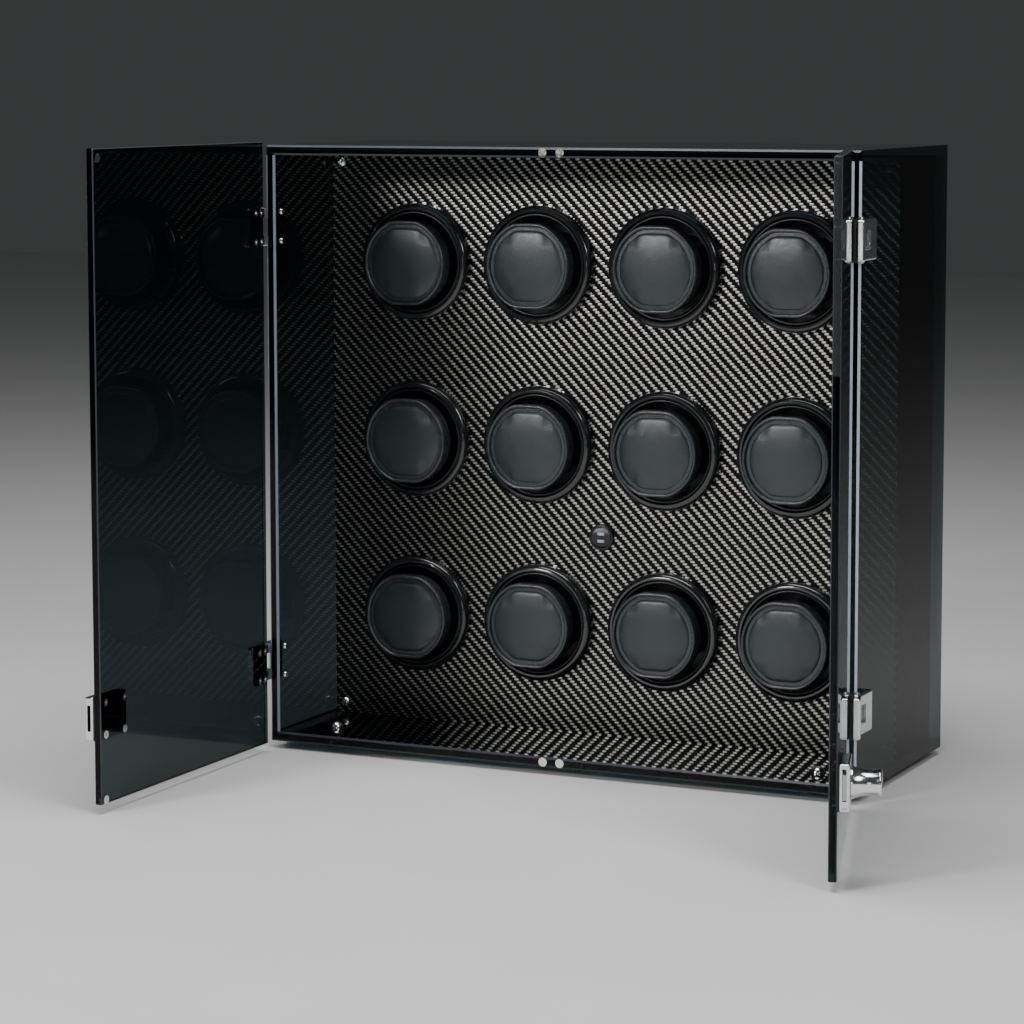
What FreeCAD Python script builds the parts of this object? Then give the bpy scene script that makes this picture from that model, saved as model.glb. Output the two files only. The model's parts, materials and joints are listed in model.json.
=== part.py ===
"""Twelve-watch winder cabinet with two smoked doors, built as separate parts.

X runs across the front, Y from the front to the back and Z up. The origin is
the centre of the footprint on the surface that the four feet stand on. The
doors are modelled closed and then swung to the angles that they rest at.
"""
import FreeCAD, Part
import math
import os
from FreeCAD import Vector

# Shell
WIDTH = 500.0
HEIGHT = 482.0
DEPTH = 205.0
SHEET = 8.0
SHELL_BEVEL = 1.6
FOOT_HEIGHT = 6.0
FOOT_RADIUS = 12.0
FOOT_TAPER = 1.5
FOOT_DOME_R = 5.6
FOOT_INSET_X = 42.2
FOOT_INSET_Y = 34.5

# Panel that carries the rotors
PANEL_SETBACK = 98.5
PANEL_SHEET = 4.0
POST_SCREW_LENGTH = 14.0
COLUMNS = 4
ROWS = 3
COLUMN_PITCH = 109.7
ROW_PITCH = 144.8

# Rotors and their trim rings
RING_OUTER_R = 47.7
RING_INNER_R = 42.1
RING_PROUD = 8.5
CUP_OUTER_R = 41.5
CUP_INNER_R = 39.0
CUP_PROUD = 7.3
CUP_DEPTH = 38.0
CUP_FLOOR = 3.0
CUP_RIM_ROUND = 1.25
HUB_R = 9.0
HUB_LENGTH = 6.0
SPINDLE_R = 4.0
SPINDLE_FIT = 0.05
SPINDLE_IN_MOTOR = 12.0
CUSHION_R = 36.0
CUSHION_FLAT = 32.0
CUSHION_PROUD = 26.0
CUSHION_DISC = 14.0
CUSHION_BODY_HALF_X = 26.0
CUSHION_BODY_HALF_Z = 27.0
CUSHION_BODY_ROUND = 9.0

# Motor compartment
FRAME_SHEET = 3.0
COVER_RECESS = 20.0
COVER_SHEET = 3.0
POST = 16.0
POST_SCREW_INSET = 8.0
LEDGE = 5.0
LEDGE_SHEET = 4.0
PLATE_SETBACK = 47.5
PLATE_SHEET = 3.0
MOTOR_R = 18.5
MOTOR_LENGTH = 16.0
MOTOR_BOSS_R = 6.0
MOTOR_EAR_HALF_X = 27.0
MOTOR_EAR_HALF_Z = 5.0
MOTOR_EAR_SHEET = 2.0
MOTOR_SCREW_REACH = 22.5
MOTOR_CAN_R = 12.0
MOTOR_CAN_LENGTH = 10.0
BOARD_HALF_X = 50.0
BOARD_HALF_Z = 26.0
BOARD_SHEET = 1.6
BOARD_STAND_OFF = 5.0
VENT_X = 110.0
VENT_COUNT = 9
VENT_PITCH = 9.0
VENT_HALF_WIDTH = 1.5
VENT_HALF_HEIGHT = 30.0
INLET_FROM_WALL = 45.0
INLET_ABOVE_FLOOR = 42.0
INLET_R = 5.5
INLET_FLANGE_R = 7.5
INLET_FLANGE = 1.6
INLET_BORE_R = 3.0
INLET_PIN_R = 1.0
INLET_DEPTH = 9.0

# Doors
DOOR_SHEET = 6.0
DOOR_BEVEL = 0.8
DOOR_GAP = 0.7
DOOR_SIDE_GAP = 0.2
DOOR_MEETING_GAP = 1.5
DOOR_ABOVE_TOP = 3.0
DOOR_ABOVE_BOTTOM = 1.0
RIGHT_DOOR_OPEN = 107.3
LEFT_DOOR_OPEN = 90.0
HARDWARE_INSET = 65.0
PAD = 0.8

# Hinges
KNUCKLE_R = 3.75
BLOCK_HALF = 15.5
KNUCKLE_HALF = 7.0
KNUCKLE_GAP = 0.3
BLOCK_LENGTH = 15.0
BLOCK_SETBACK = 0.5
BLOCK_ROUND = 1.8
PIN_R = 1.6
PIN_FIT = 0.05
PIN_CAP_R = 2.6
PIN_CAP = 1.4
WALL_SCREW_FROM_FRONT = 10.5
WALL_SCREW_REACH = 11.7
WALL_SCREW_IN_BLOCK = 5.0
DOOR_SCREW_REACH_X = 4.2
DOOR_SCREW_REACH_Z = 11.5

# Latch
LATCH_LENGTH = 40.0
LATCH_THICK = 7.4
LATCH_HALF = 16.25
LATCH_WALL = 1.8
LATCH_ROUND = 1.4
LATCH_SETBACK = 0.5
LATCH_TRAVEL = 8.0
LATCH_SLOT_HALF = 1.4
LATCH_SCREW_FROM_EDGE = 7.5
LATCH_SCREW_SPAN = 26.0
LATCH_SCREW_REACH = 12.0
STRIKE_CAVITY = 22.0
LATCH_CAVITY = 37.0
KNOB_LENGTH = 20.5
KNOB_FROM_EDGE = 21.0
KNOB_BASE_R = 11.2
KNOB_SHAFT_R = 3.0
BOLT_LENGTH = 32.5
BOLT_THICK = 2.2
BOLT_BELOW = 8.5
BOLT_ABOVE = 9.0

# Small parts
SCREW_R = 1.5
SCREW_HEAD_R = 2.8
SCREW_HEAD = 1.8
DOOR_SCREW_HEAD_R = 3.0
DOOR_SCREW_HEAD = 1.6
DOOR_SCREW_GRIP = 1.6
MAGNET_R = 3.5
MAGNET_DEPTH = 4.0
MAGNET_X = 7.2
SWITCH_R = 10.7
SWITCH_BODY_R = 9.3
SWITCH_WELL_R = 8.6
SWITCH_WELL = 6.0
SWITCH_DEPTH = 16.0
SWITCH_PROUD = 2.4
ROCKER_R = 8.15
ROCKER_PROUD = 2.6
ROCKER_BACK = 1.6
ROCKER_CROWN_R = 22.0
ROCKER_PIN_R = 0.9
ROCKER_PIN_FIT = 0.05

# Planes that the dimensions above fix
FRONT = -DEPTH / 2
BACK = DEPTH / 2
BOTTOM = FOOT_HEIGHT
TOP = FOOT_HEIGHT + HEIGHT
MIDDLE = FOOT_HEIGHT + HEIGHT / 2
HALF_WIDTH = WIDTH / 2
INNER_X = HALF_WIDTH - SHEET
FLOOR = BOTTOM + SHEET
CEILING = TOP - SHEET
PANEL_FACE = FRONT + PANEL_SETBACK
PANEL_BACK = PANEL_FACE + PANEL_SHEET
COVER_BACK = BACK - COVER_RECESS
COVER_FACE = COVER_BACK - COVER_SHEET
FRAME_HALF_X = INNER_X - FRAME_SHEET
INNER_HALF_Z = HEIGHT / 2 - SHEET
FRAME_HALF_Z = INNER_HALF_Z - FRAME_SHEET
INLET_X = INNER_X - INLET_FROM_WALL
INLET_Z = FLOOR + INLET_ABOVE_FLOOR
PLATE_FACE = PANEL_BACK + PLATE_SETBACK
PLATE_BACK = PLATE_FACE + PLATE_SHEET
DOOR_INNER = FRONT - DOOR_GAP
DOOR_OUTER = DOOR_INNER - DOOR_SHEET
DOOR_EDGE = DOOR_MEETING_GAP / 2
BLOCK_FACE = DOOR_OUTER - PAD
HINGE_X = HALF_WIDTH + KNUCKLE_R
HINGE_Y = DOOR_OUTER - KNUCKLE_R
HARDWARE_LEVELS = (BOTTOM + HARDWARE_INSET, TOP - HARDWARE_INSET)
LATCH_Z = BOTTOM + HARDWARE_INSET
LATCH_EDGE = DOOR_EDGE + LATCH_SETBACK
LATCH_FRONT = BLOCK_FACE - LATCH_THICK
LATCH_MIDDLE = BLOCK_FACE - LATCH_THICK / 2
KNOB_X = DOOR_EDGE + KNOB_FROM_EDGE
MAGNET_LEVELS = (BOTTOM + SHEET / 2, TOP - SHEET / 2)
SWITCH_Z = MIDDLE - ROW_PITCH / 2
FOOT_X = HALF_WIDTH - FOOT_INSET_X
FOOT_Y = BACK - FOOT_INSET_Y
COLUMN_X = [(i - (COLUMNS - 1) / 2) * COLUMN_PITCH for i in range(COLUMNS)]
ROW_Z = [MIDDLE + ((ROWS - 1) / 2 - i) * ROW_PITCH for i in range(ROWS)]
ROTORS = [(row + 1, column + 1, x, z)
          for row, z in enumerate(ROW_Z) for column, x in enumerate(COLUMN_X)]


def box(x0, x1, y0, y1, z0, z1):
    """A block between two corners, given in any order."""
    low = Vector(min(x0, x1), min(y0, y1), min(z0, z1))
    return Part.makeBox(abs(x1 - x0), abs(y1 - y0), abs(z1 - z0), low)


def soft_box(x0, x1, y0, y1, z0, z1, radius):
    """A block with every edge rounded."""
    block = box(x0, x1, y0, y1, z0, z1)
    return block.makeFillet(radius, block.Edges)


def rod_x(radius, y, z, x0, x1):
    return Part.makeCylinder(radius, abs(x1 - x0), Vector(min(x0, x1), y, z), Vector(1, 0, 0))


def rod_y(radius, x, z, y0, y1):
    return Part.makeCylinder(radius, abs(y1 - y0), Vector(x, min(y0, y1), z), Vector(0, 1, 0))


def rod_z(radius, x, y, z0, z1):
    return Part.makeCylinder(radius, abs(z1 - z0), Vector(x, y, min(z0, z1)), Vector(0, 0, 1))


def turned(start, steps, x, z):
    """A solid turned about a line along Y. Points are (radius, y).

    A step of one point is a straight run to it. A step of two is an arc
    through the first to the second.
    """
    edges = []
    here = start
    for step in steps:
        end = step[-1]
        if len(step) == 2:
            arc = Part.Arc(Vector(*here), Vector(*step[0]), Vector(*end))
            edges.append(arc.toShape())
        else:
            edges.append(Part.makeLine(Vector(*here), Vector(*end)))
        here = end
    edges.append(Part.makeLine(Vector(*here), Vector(*start)))
    face = Part.Face(Part.Wire(edges))
    solid = face.revolve(Vector(0, 0, 0), Vector(0, 1, 0), 360)
    solid.translate(Vector(x, 0, z))
    return solid


def corners(reach_x, reach_z):
    """The four corner places round the middle of the front."""
    return [(sx * reach_x, MIDDLE + sz * reach_z) for sx in (-1, 1) for sz in (-1, 1)]


def group(solids):
    """Separate solids kept together in one node."""
    return Part.makeCompound(solids)


def save(name, shape):
    """Write one node, after making sure that each of its solids is sound."""
    for solid in shape.Solids:
        if not solid.isValid() or solid.Volume <= 0:
            raise ValueError("unsound solid in " + name)
    shape.exportStep("parts/" + name + ".step")


# Shell -----------------------------------------------------------------------

def foot_places():
    return [(sx * FOOT_X, sy * FOOT_Y) for sx in (-1, 1) for sy in (-1, 1)]


def rectangle(half_x, half_z, y):
    """The outline of a rectangle round the middle of the front."""
    places = [(-half_x, -half_z), (half_x, -half_z), (half_x, half_z), (-half_x, half_z)]
    places.append(places[0])
    return Part.makePolygon([Vector(x, y, MIDDLE + z) for x, z in places])


def flare(half_x, half_z, growth):
    """A block just behind the front plane, whose sides slope by the bevel's width."""
    front = rectangle(half_x + growth, half_z + growth, FRONT)
    back = rectangle(half_x, half_z, FRONT + SHELL_BEVEL)
    return Part.makeLoft([front, back], True, True)


def bevelled(sheet):
    """A sheet of the shell, bevelled where it meets the front opening and the front's outline."""
    half_height = HEIGHT / 2
    outside = flare(HALF_WIDTH, half_height, -SHELL_BEVEL).fuse(
        box(-HALF_WIDTH, HALF_WIDTH, FRONT + SHELL_BEVEL, BACK, BOTTOM, TOP))
    return sheet.common(outside).cut(flare(INNER_X, INNER_HALF_Z, SHELL_BEVEL)).removeSplitter()


def level_panel(z0, z1, magnet_z):
    """The top or bottom sheet, with pockets for two magnets in its front edge."""
    sheet = bevelled(box(-HALF_WIDTH, HALF_WIDTH, FRONT, BACK, z0, z1))
    for x in (-MAGNET_X, MAGNET_X):
        sheet = sheet.cut(rod_y(MAGNET_R, x, magnet_z, FRONT, FRONT + MAGNET_DEPTH))
    return sheet


def bottom_panel():
    sheet = level_panel(BOTTOM, FLOOR, MAGNET_LEVELS[0])
    for x, y in foot_places():
        sheet = sheet.cut(rod_z(SCREW_R, x, y, BOTTOM, FLOOR))
    return sheet


def side_wall(side):
    """A side sheet between top and bottom, drilled for its hinge screws."""
    sheet = bevelled(box(side * INNER_X, side * HALF_WIDTH, FRONT, BACK, FLOOR, CEILING))
    for y, z in wall_screw_places():
        sheet = sheet.cut(rod_x(SCREW_R, y, z, side * INNER_X, side * HALF_WIDTH))
    return sheet


def foot(x, y):
    """A rubber foot, tapered, with the hole for its screw."""
    cone = Part.makeCone(FOOT_RADIUS - FOOT_TAPER, FOOT_RADIUS, FOOT_HEIGHT, Vector(x, y, 0))
    return cone.cut(rod_z(SCREW_R, x, y, FOOT_HEIGHT / 2, FOOT_HEIGHT))


def foot_screw(x, y):
    """A domed screw that stands on the floor sheet and reaches into the foot."""
    ball = Part.makeSphere(FOOT_DOME_R, Vector(x, y, FLOOR))
    dome = ball.common(box(x - FOOT_DOME_R, x + FOOT_DOME_R, y - FOOT_DOME_R, y + FOOT_DOME_R,
                           FLOOR, FLOOR + FOOT_DOME_R))
    return dome.fuse(rod_z(SCREW_R, x, y, FOOT_HEIGHT / 2, FLOOR)).removeSplitter()


def magnets(places_x, y_front):
    return group([rod_y(MAGNET_R, x, z, y_front, y_front + MAGNET_DEPTH)
                  for x in places_x for z in MAGNET_LEVELS])


# Front panel -----------------------------------------------------------------

def post_screw_places():
    return corners(INNER_X - POST_SCREW_INSET, INNER_HALF_Z - POST_SCREW_INSET)


def carbon_panel():
    sheet = box(-INNER_X, INNER_X, PANEL_FACE, PANEL_BACK, FLOOR, CEILING)
    for row, column, x, z in ROTORS:
        sheet = sheet.cut(rod_y(RING_INNER_R, x, z, PANEL_FACE, PANEL_BACK))
    for x, z in post_screw_places():
        sheet = sheet.cut(rod_y(SCREW_R, x, z, PANEL_FACE, PANEL_BACK))
    return sheet.cut(rod_y(SWITCH_BODY_R, 0, SWITCH_Z, PANEL_FACE, PANEL_BACK))


def bezel_ring(x, z):
    """A raised trim ring with a rolled outer shoulder and a lip inside it."""
    front = PANEL_FACE - RING_PROUD
    start = (RING_INNER_R, PANEL_FACE)
    steps = [
        [(RING_OUTER_R, PANEL_FACE)],
        [(RING_OUTER_R, front + 4.5)],
        [(RING_OUTER_R - 1.2, front + 1.4), (RING_OUTER_R - 3.6, front)],
        [(RING_INNER_R + 0.5, front)],
        [(RING_INNER_R, front + 0.5)],
    ]
    return turned(start, steps, x, z)


def corner_screw(x, z, y_seat, way):
    """A pan-head screw whose head stands off the seat against the way it drives."""
    head = turned((0, 0), [[(4.0, 0)], [(4.0, -0.8)], [(2.6, -2.2), (0, -2.6)]], 0, 0)
    slot_depth, slot_half, slot_reach = 1.6, 0.45, 2.0
    upright = box(-slot_half, slot_half, -3, -slot_depth, -slot_reach, slot_reach)
    level = box(-slot_reach, slot_reach, -3, -slot_depth, -slot_half, slot_half)
    cross = upright.fuse(level)
    screw = head.cut(cross).fuse(rod_y(SCREW_R, 0, 0, 0, POST_SCREW_LENGTH))
    if way < 0:
        screw.rotate(Vector(0, 0, 0), Vector(0, 0, 1), 180)
    screw.translate(Vector(x, y_seat, z))
    return screw


def switch_body():
    """A round snap-in switch housing with a ring face and a hollow for the rocker."""
    front = PANEL_FACE - SWITCH_PROUD
    start = (SWITCH_WELL_R, front)
    steps = [
        [(SWITCH_WELL_R, PANEL_FACE + SWITCH_WELL)],
        [(0, PANEL_FACE + SWITCH_WELL)],
        [(0, PANEL_FACE + SWITCH_DEPTH)],
        [(SWITCH_BODY_R, PANEL_FACE + SWITCH_DEPTH)],
        [(SWITCH_BODY_R, PANEL_FACE)],
        [(SWITCH_R, PANEL_FACE)],
        [(SWITCH_R, front + 1.4)],
        [(SWITCH_R - 0.5, front + 0.4), (SWITCH_R - 1.4, front)],
    ]
    body = turned(start, steps, 0, SWITCH_Z)
    reach = rocker_pin_reach() + ROCKER_PIN_FIT
    return body.cut(rod_x(ROCKER_PIN_R + ROCKER_PIN_FIT, PANEL_FACE, SWITCH_Z, -reach, reach))


def rocker_pin_reach():
    """Half the length of the rocker's pins, which end inside the wall of the housing."""
    return (SWITCH_WELL_R + SWITCH_BODY_R) / 2


def switch_rocker():
    """A round rocker with a shallow crown, which tips on two side pins."""
    front = PANEL_FACE - ROCKER_PROUD
    disc = rod_y(ROCKER_R, 0, SWITCH_Z, front, PANEL_FACE + ROCKER_BACK)
    crown = rod_x(ROCKER_CROWN_R, front + ROCKER_CROWN_R, SWITCH_Z, -SWITCH_R, SWITCH_R)
    reach = rocker_pin_reach()
    pins = rod_x(ROCKER_PIN_R, PANEL_FACE, SWITCH_Z, -reach, reach)
    return disc.common(crown).fuse(pins).removeSplitter()


# Rotors ----------------------------------------------------------------------

def rotor_cup(x, z):
    """A deep cup with a rolled rim, and the hub and spindle that turn it."""
    rim = PANEL_FACE - CUP_PROUD
    floor = PANEL_FACE + CUP_DEPTH
    hub = floor + CUP_FLOOR
    spindle_end = PLATE_BACK + SPINDLE_IN_MOTOR
    start = (0, floor)
    steps = [
        [(CUP_INNER_R, floor)],
        [(CUP_INNER_R, rim + CUP_RIM_ROUND)],
        [((CUP_INNER_R + CUP_OUTER_R) / 2, rim), (CUP_OUTER_R, rim + CUP_RIM_ROUND)],
        [(CUP_OUTER_R, hub)],
        [(HUB_R, hub)],
        [(HUB_R, hub + HUB_LENGTH)],
        [(SPINDLE_R, hub + HUB_LENGTH)],
        [(SPINDLE_R, spindle_end)],
        [(0, spindle_end)],
    ]
    return turned(start, steps, x, z)


def watch_cushion(x, z):
    """A padded holder: a round face cut flat at top and bottom, and a body behind it."""
    face = PANEL_FACE - CUSHION_PROUD
    disc = turned((0, face), [
        [(CUSHION_R - 4, face)],
        [(CUSHION_R - 1.2, face + 1.2), (CUSHION_R, face + 4)],
        [(CUSHION_R, face + CUSHION_DISC)],
        [(0, face + CUSHION_DISC)],
    ], x, z)
    disc = disc.common(box(x - CUSHION_R, x + CUSHION_R, face, face + CUSHION_DISC,
                           z - CUSHION_FLAT, z + CUSHION_FLAT))
    back = PANEL_FACE + CUP_DEPTH - 1
    body = soft_box(x - CUSHION_BODY_HALF_X, x + CUSHION_BODY_HALF_X, face + 3, back,
                    z - CUSHION_BODY_HALF_Z, z + CUSHION_BODY_HALF_Z, CUSHION_BODY_ROUND)
    return disc.fuse(body).removeSplitter()


# Motor compartment -----------------------------------------------------------

def tube_y(half_x, half_z, wall, y0, y1):
    """A rectangular tube round the middle of the front, with its wall inside the sizes given."""
    outer = box(-half_x, half_x, y0, y1, MIDDLE - half_z, MIDDLE + half_z)
    return outer.cut(box(wall - half_x, half_x - wall, y0, y1,
                         MIDDLE - half_z + wall, MIDDLE + half_z - wall))


def rear_frame():
    """The black liner of the compartment, with corner posts and a ledge for the plate."""
    liner = tube_y(INNER_X, INNER_HALF_Z, FRAME_SHEET, PANEL_BACK, COVER_BACK)
    parts = [tube_y(FRAME_HALF_X, FRAME_HALF_Z, LEDGE, PLATE_FACE - LEDGE_SHEET, PLATE_FACE)]
    for sx in (-1, 1):
        for sz in (-1, 1):
            parts.append(box(sx * FRAME_HALF_X, sx * (INNER_X - POST), PANEL_BACK, COVER_FACE,
                             MIDDLE + sz * FRAME_HALF_Z, MIDDLE + sz * (INNER_HALF_Z - POST)))
    frame = liner.multiFuse(parts).removeSplitter()
    for x, z in post_screw_places():
        frame = frame.cut(rod_y(SCREW_R, x, z, PANEL_BACK, PANEL_BACK + POST_SCREW_LENGTH))
        frame = frame.cut(rod_y(SCREW_R, x, z, COVER_FACE - POST_SCREW_LENGTH, COVER_FACE))
    dome_clearance_r = FOOT_DOME_R + 0.6
    for x, y in foot_places():
        if y > 0:
            frame = frame.cut(rod_z(dome_clearance_r, x, y, FLOOR, FLOOR + FRAME_SHEET))
    return frame


def plate_outline(y0, y1):
    """A sheet that fills the frame between its four posts."""
    sheet = box(-FRAME_HALF_X, FRAME_HALF_X, y0, y1, MIDDLE - FRAME_HALF_Z, MIDDLE + FRAME_HALF_Z)
    for sx in (-1, 1):
        for sz in (-1, 1):
            sheet = sheet.cut(box(sx * (INNER_X - POST), sx * FRAME_HALF_X, y0, y1,
                                  MIDDLE + sz * (INNER_HALF_Z - POST), MIDDLE + sz * FRAME_HALF_Z))
    return sheet


def motor_plate():
    sheet = plate_outline(PLATE_FACE, PLATE_BACK)
    for row, column, x, z in ROTORS:
        sheet = sheet.cut(rod_y(MOTOR_BOSS_R, x, z, PLATE_FACE, PLATE_BACK))
        for dx in (-MOTOR_SCREW_REACH, MOTOR_SCREW_REACH):
            sheet = sheet.cut(rod_y(SCREW_R, x + dx, z, PLATE_FACE, PLATE_BACK))
    return sheet


def gear_motor(x, z):
    """A round gearbox with a boss, two ears and a smaller motor can behind."""
    gearbox_end = PLATE_BACK + MOTOR_LENGTH
    can_end = gearbox_end + MOTOR_CAN_LENGTH
    ears = box(x - MOTOR_EAR_HALF_X, x + MOTOR_EAR_HALF_X, PLATE_BACK, PLATE_BACK + MOTOR_EAR_SHEET,
               z - MOTOR_EAR_HALF_Z, z + MOTOR_EAR_HALF_Z)
    body = rod_y(MOTOR_R, x, z, PLATE_BACK, gearbox_end)
    boss = rod_y(MOTOR_BOSS_R, x, z, PLATE_FACE, PLATE_BACK)
    can = rod_y(MOTOR_CAN_R, x, z, gearbox_end, can_end)
    tabs = [box(x + dx - 1.5, x + dx + 1.5, can_end, can_end + 2, z - 0.4, z + 0.4)
            for dx in (-6, 6)]
    motor = body.multiFuse([ears, boss, can] + tabs).removeSplitter()
    bore_end = PLATE_BACK + SPINDLE_IN_MOTOR + 1
    motor = motor.cut(rod_y(SPINDLE_R + SPINDLE_FIT, x, z, PLATE_FACE, bore_end))
    for dx in (-MOTOR_SCREW_REACH, MOTOR_SCREW_REACH):
        motor = motor.cut(rod_y(SCREW_R, x + dx, z, PLATE_BACK, PLATE_BACK + MOTOR_EAR_SHEET))
    return motor


def motor_screw(x, z):
    """A short screw through a motor ear into the plate."""
    seat = PLATE_BACK + MOTOR_EAR_SHEET
    shank = rod_y(SCREW_R, x, z, PLATE_FACE, seat)
    return shank.fuse(rod_y(SCREW_HEAD_R, x, z, seat, seat + SCREW_HEAD))


def circuit_board():
    """The drive board between the upper rows, on four spacers."""
    z = MIDDLE + ROW_PITCH / 2
    front = PLATE_BACK + BOARD_STAND_OFF
    back = front + BOARD_SHEET
    board = box(-BOARD_HALF_X, BOARD_HALF_X, front, back, z - BOARD_HALF_Z, z + BOARD_HALF_Z)
    spacer_r, spacer_inset = 3.0, 5.0
    parts = [rod_y(spacer_r, sx * (BOARD_HALF_X - spacer_inset),
                   z + sz * (BOARD_HALF_Z - spacer_inset), PLATE_BACK, front)
             for sx in (-1, 1) for sz in (-1, 1)]
    plug_count, plug_pitch, plug_width = 6, 15.0, 10.0
    for i in range(plug_count):
        x = -44 + plug_pitch * i
        parts.append(box(x, x + plug_width, back, back + 6, z - 24, z - 18))
    chip = box(-12, 12, back, back + 2.4, z - 6, z + 6)
    capacitors = [rod_y(4.0, x, z + 10, back, back + 10.4) for x in (28, 38)]
    return board.multiFuse(parts + [chip] + capacitors).removeSplitter()


def back_cover():
    """The recessed rear cover with its vent slots and the hole for the inlet."""
    cover = box(-FRAME_HALF_X, FRAME_HALF_X, COVER_FACE, COVER_BACK,
                MIDDLE - FRAME_HALF_Z, MIDDLE + FRAME_HALF_Z)
    for x, z in post_screw_places():
        cover = cover.cut(rod_y(SCREW_R, x, z, COVER_FACE, COVER_BACK))
    for side in (-1, 1):
        for i in range(VENT_COUNT):
            x = side * VENT_X + (i - (VENT_COUNT - 1) / 2) * VENT_PITCH
            slot = box(x - VENT_HALF_WIDTH, x + VENT_HALF_WIDTH, COVER_FACE, COVER_BACK,
                       MIDDLE - VENT_HALF_HEIGHT, MIDDLE + VENT_HALF_HEIGHT)
            cover = cover.cut(slot)
    return cover.cut(rod_y(INLET_R, INLET_X, INLET_Z, COVER_FACE, COVER_BACK))


def power_inlet():
    """A round low-voltage socket with its centre contact."""
    flange_back = COVER_BACK + INLET_FLANGE
    bore_end = COVER_BACK - INLET_DEPTH
    body = rod_y(INLET_R, INLET_X, INLET_Z, COVER_FACE - INLET_DEPTH, COVER_BACK)
    body = body.fuse(rod_y(INLET_FLANGE_R, INLET_X, INLET_Z, COVER_BACK, flange_back))
    body = body.cut(rod_y(INLET_BORE_R, INLET_X, INLET_Z, bore_end, flange_back))
    pin = rod_y(INLET_PIN_R, INLET_X, INLET_Z, bore_end, COVER_BACK)
    return body.fuse(pin).removeSplitter()


# Hinges ----------------------------------------------------------------------

def wall_screw_places():
    return [(FRONT + WALL_SCREW_FROM_FRONT, level + dz) for level in HARDWARE_LEVELS
            for dz in (-WALL_SCREW_REACH, WALL_SCREW_REACH)]


def wall_hinge_block(side, level):
    """The fixed half: a rounded bar on the side wall that ends in two knuckles."""
    outer = HALF_WIDTH + 2 * KNUCKLE_R
    front = FRONT + BLOCK_SETBACK
    back = front + BLOCK_LENGTH
    low = level - BLOCK_HALF
    height = 2 * BLOCK_HALF
    nose = Part.Arc(Vector(outer, HINGE_Y, low), Vector(HINGE_X, HINGE_Y - KNUCKLE_R, low),
                    Vector(HALF_WIDTH, HINGE_Y, low))
    outline = Part.Wire([
        Part.makeLine(Vector(HALF_WIDTH, HINGE_Y, low), Vector(HALF_WIDTH, back, low)),
        Part.makeLine(Vector(HALF_WIDTH, back, low), Vector(outer, back, low)),
        Part.makeLine(Vector(outer, back, low), Vector(outer, HINGE_Y, low)),
        nose.toShape(),
    ])
    bar = Part.Face(outline).extrude(Vector(0, 0, height))
    rounded = [edge for edge in bar.Edges
               if edge.BoundBox.ZLength < height / 2 or edge.BoundBox.YMin > front]
    bar = bar.makeFillet(BLOCK_ROUND, rounded)
    middle = KNUCKLE_HALF + KNUCKLE_GAP
    bar = bar.cut(box(HALF_WIDTH, outer, HINGE_Y - KNUCKLE_R, front, level - middle, level + middle))
    bar = bar.cut(rod_z(PIN_R, HINGE_X, HINGE_Y, low, low + height))
    for y, z in wall_screw_places():
        if abs(z - level) < BLOCK_HALF:
            bar = bar.cut(rod_x(SCREW_R, y, z, HALF_WIDTH, HALF_WIDTH + WALL_SCREW_IN_BLOCK))
    return mirrored(bar, side)


def hinge_pin(side, level):
    """A pin with a small domed cap at each end."""
    pin = rod_z(PIN_R, HINGE_X, HINGE_Y, level - BLOCK_HALF, level + BLOCK_HALF)
    caps = []
    for end in (-1, 1):
        z = level + end * BLOCK_HALF
        ball = Part.makeSphere(PIN_CAP_R, Vector(HINGE_X, HINGE_Y, z))
        caps.append(ball.common(box(HINGE_X - PIN_CAP_R, HINGE_X + PIN_CAP_R,
                                    HINGE_Y - PIN_CAP_R, HINGE_Y + PIN_CAP_R,
                                    z, z + end * PIN_CAP)))
    return mirrored(pin.multiFuse(caps), side)


def wall_screw(side, y, z):
    """A round-headed screw from inside the wall into the hinge block."""
    shank = rod_x(SCREW_R, y, z, INNER_X, HALF_WIDTH + WALL_SCREW_IN_BLOCK)
    ball = Part.makeSphere(SCREW_HEAD_R, Vector(INNER_X, y, z))
    head = ball.common(box(INNER_X - SCREW_HEAD, INNER_X, y - SCREW_HEAD_R, y + SCREW_HEAD_R,
                           z - SCREW_HEAD_R, z + SCREW_HEAD_R))
    return mirrored(shank.fuse(head), side)


def door_hinge_block(level):
    """The moving half: a block on the door's outer face with the middle knuckle."""
    inner_end = HALF_WIDTH - BLOCK_LENGTH
    outer_end = HALF_WIDTH - BLOCK_SETBACK
    block = soft_box(inner_end, outer_end, HINGE_Y - KNUCKLE_R, BLOCK_FACE,
                     level - BLOCK_HALF, level + BLOCK_HALF, BLOCK_ROUND)
    arm_start = outer_end - 2 * BLOCK_ROUND
    arm = box(arm_start, HINGE_X, HINGE_Y - KNUCKLE_R, BLOCK_FACE,
              level - KNUCKLE_HALF, level + KNUCKLE_HALF)
    knuckle = rod_z(KNUCKLE_R, HINGE_X, HINGE_Y, level - KNUCKLE_HALF, level + KNUCKLE_HALF)
    block = block.multiFuse([arm, knuckle]).removeSplitter()
    block = block.cut(rod_z(PIN_R + PIN_FIT, HINGE_X, HINGE_Y,
                            level - KNUCKLE_HALF, level + KNUCKLE_HALF))
    for x, z in hinge_screw_places(level):
        block = block.cut(rod_y(SCREW_R, x, z, BLOCK_FACE - DOOR_SCREW_GRIP, BLOCK_FACE))
    return block


def hinge_screw_places(level):
    middle = HALF_WIDTH - BLOCK_SETBACK - BLOCK_LENGTH / 2
    return [(middle + dx, level + dz) for dx in (-DOOR_SCREW_REACH_X, DOOR_SCREW_REACH_X)
            for dz in (-DOOR_SCREW_REACH_Z, DOOR_SCREW_REACH_Z)]


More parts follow.
